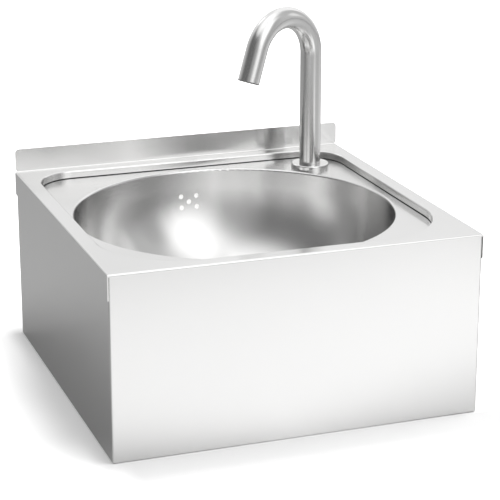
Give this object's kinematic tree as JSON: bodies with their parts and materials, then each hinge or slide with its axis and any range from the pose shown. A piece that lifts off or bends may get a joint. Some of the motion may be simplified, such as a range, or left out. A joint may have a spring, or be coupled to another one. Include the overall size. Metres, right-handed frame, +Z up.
{
  "type": "wall-hung hand wash sink",
  "caption": "Square wall-hung stainless steel hand wash sink with a pressed round bowl, overflow, grid waste and a swivelling swan-neck spout.",
  "frame": {"origin": "centre of the underside, on the plane of the cabinet's bottom folds", "axes": "+X to the user's right, +Y towards the wall, +Z up"},
  "size_m": [0.45, 0.45, 0.433],
  "materials": {
    "satin_steel": "satin brushed sheet",
    "plain_steel": "mill finish sheet",
    "bowl_steel": "satin pressed sheet",
    "polished_steel": "fine satin to bright",
    "fastener_steel": "zinc or stainless fasteners",
    "brass": "machined",
    "black_seal": "black joint",
    "black_rubber": "matt",
    "white_rubber": "matt",
    "grey_pad": "matt bitumen pad",
    "white_plastic": "moulded",
    "grey_plastic": "moulded ribbed hose"
  },
  "bodies": {
    "basin": {"deck": "satin_steel", "body_wrap": "satin_steel", "hanging_rail": "plain_steel", "rear_brace": "plain_steel", "bowl": "bowl_steel", "recess_seal": "black_seal", "damping_pad": "grey_pad", "bowl_studs": "fastener_steel", "bowl_washers": "fastener_steel", "bowl_nuts": "fastener_steel", "waste_strainer": "polished_steel", "strainer_seal": "white_rubber", "waste_screw": "fastener_steel", "waste_seal": "black_rubber", "waste_body": "white_plastic", "overflow_gasket": "black_rubber", "overflow_cup": "white_plastic", "overflow_studs": "fastener_steel", "overflow_nuts": "fastener_steel", "overflow_hose": "grey_plastic", "hose_clips": "fastener_steel", "escutcheon": "polished_steel", "tap_seal": "black_rubber", "tap_shank": "brass", "tap_rubber_washer": "black_rubber", "tap_steel_washer": "fastener_steel", "tap_nut": "brass", "grub_screw": "fastener_steel", "thrust_washer": "white_plastic", "earth_bolt": "fastener_steel", "earth_washer": "fastener_steel", "earth_nut": "fastener_steel"},
    "spout_arm": {"swivel_stem": "brass", "stem_orings": "black_rubber", "spout": "polished_steel", "aerator_housing": "brass", "aerator_cartridge": "white_plastic", "aerator_washer": "black_rubber"}
  },
  "joints": [
    {"name": "spout_swivel", "type": "hinge", "parent": "basin", "child": "spout_arm", "pos_m": [0.159, 0.156, 0.2178], "axis": [0, 0, 1], "range_deg": [-60, 60]}
  ]
}
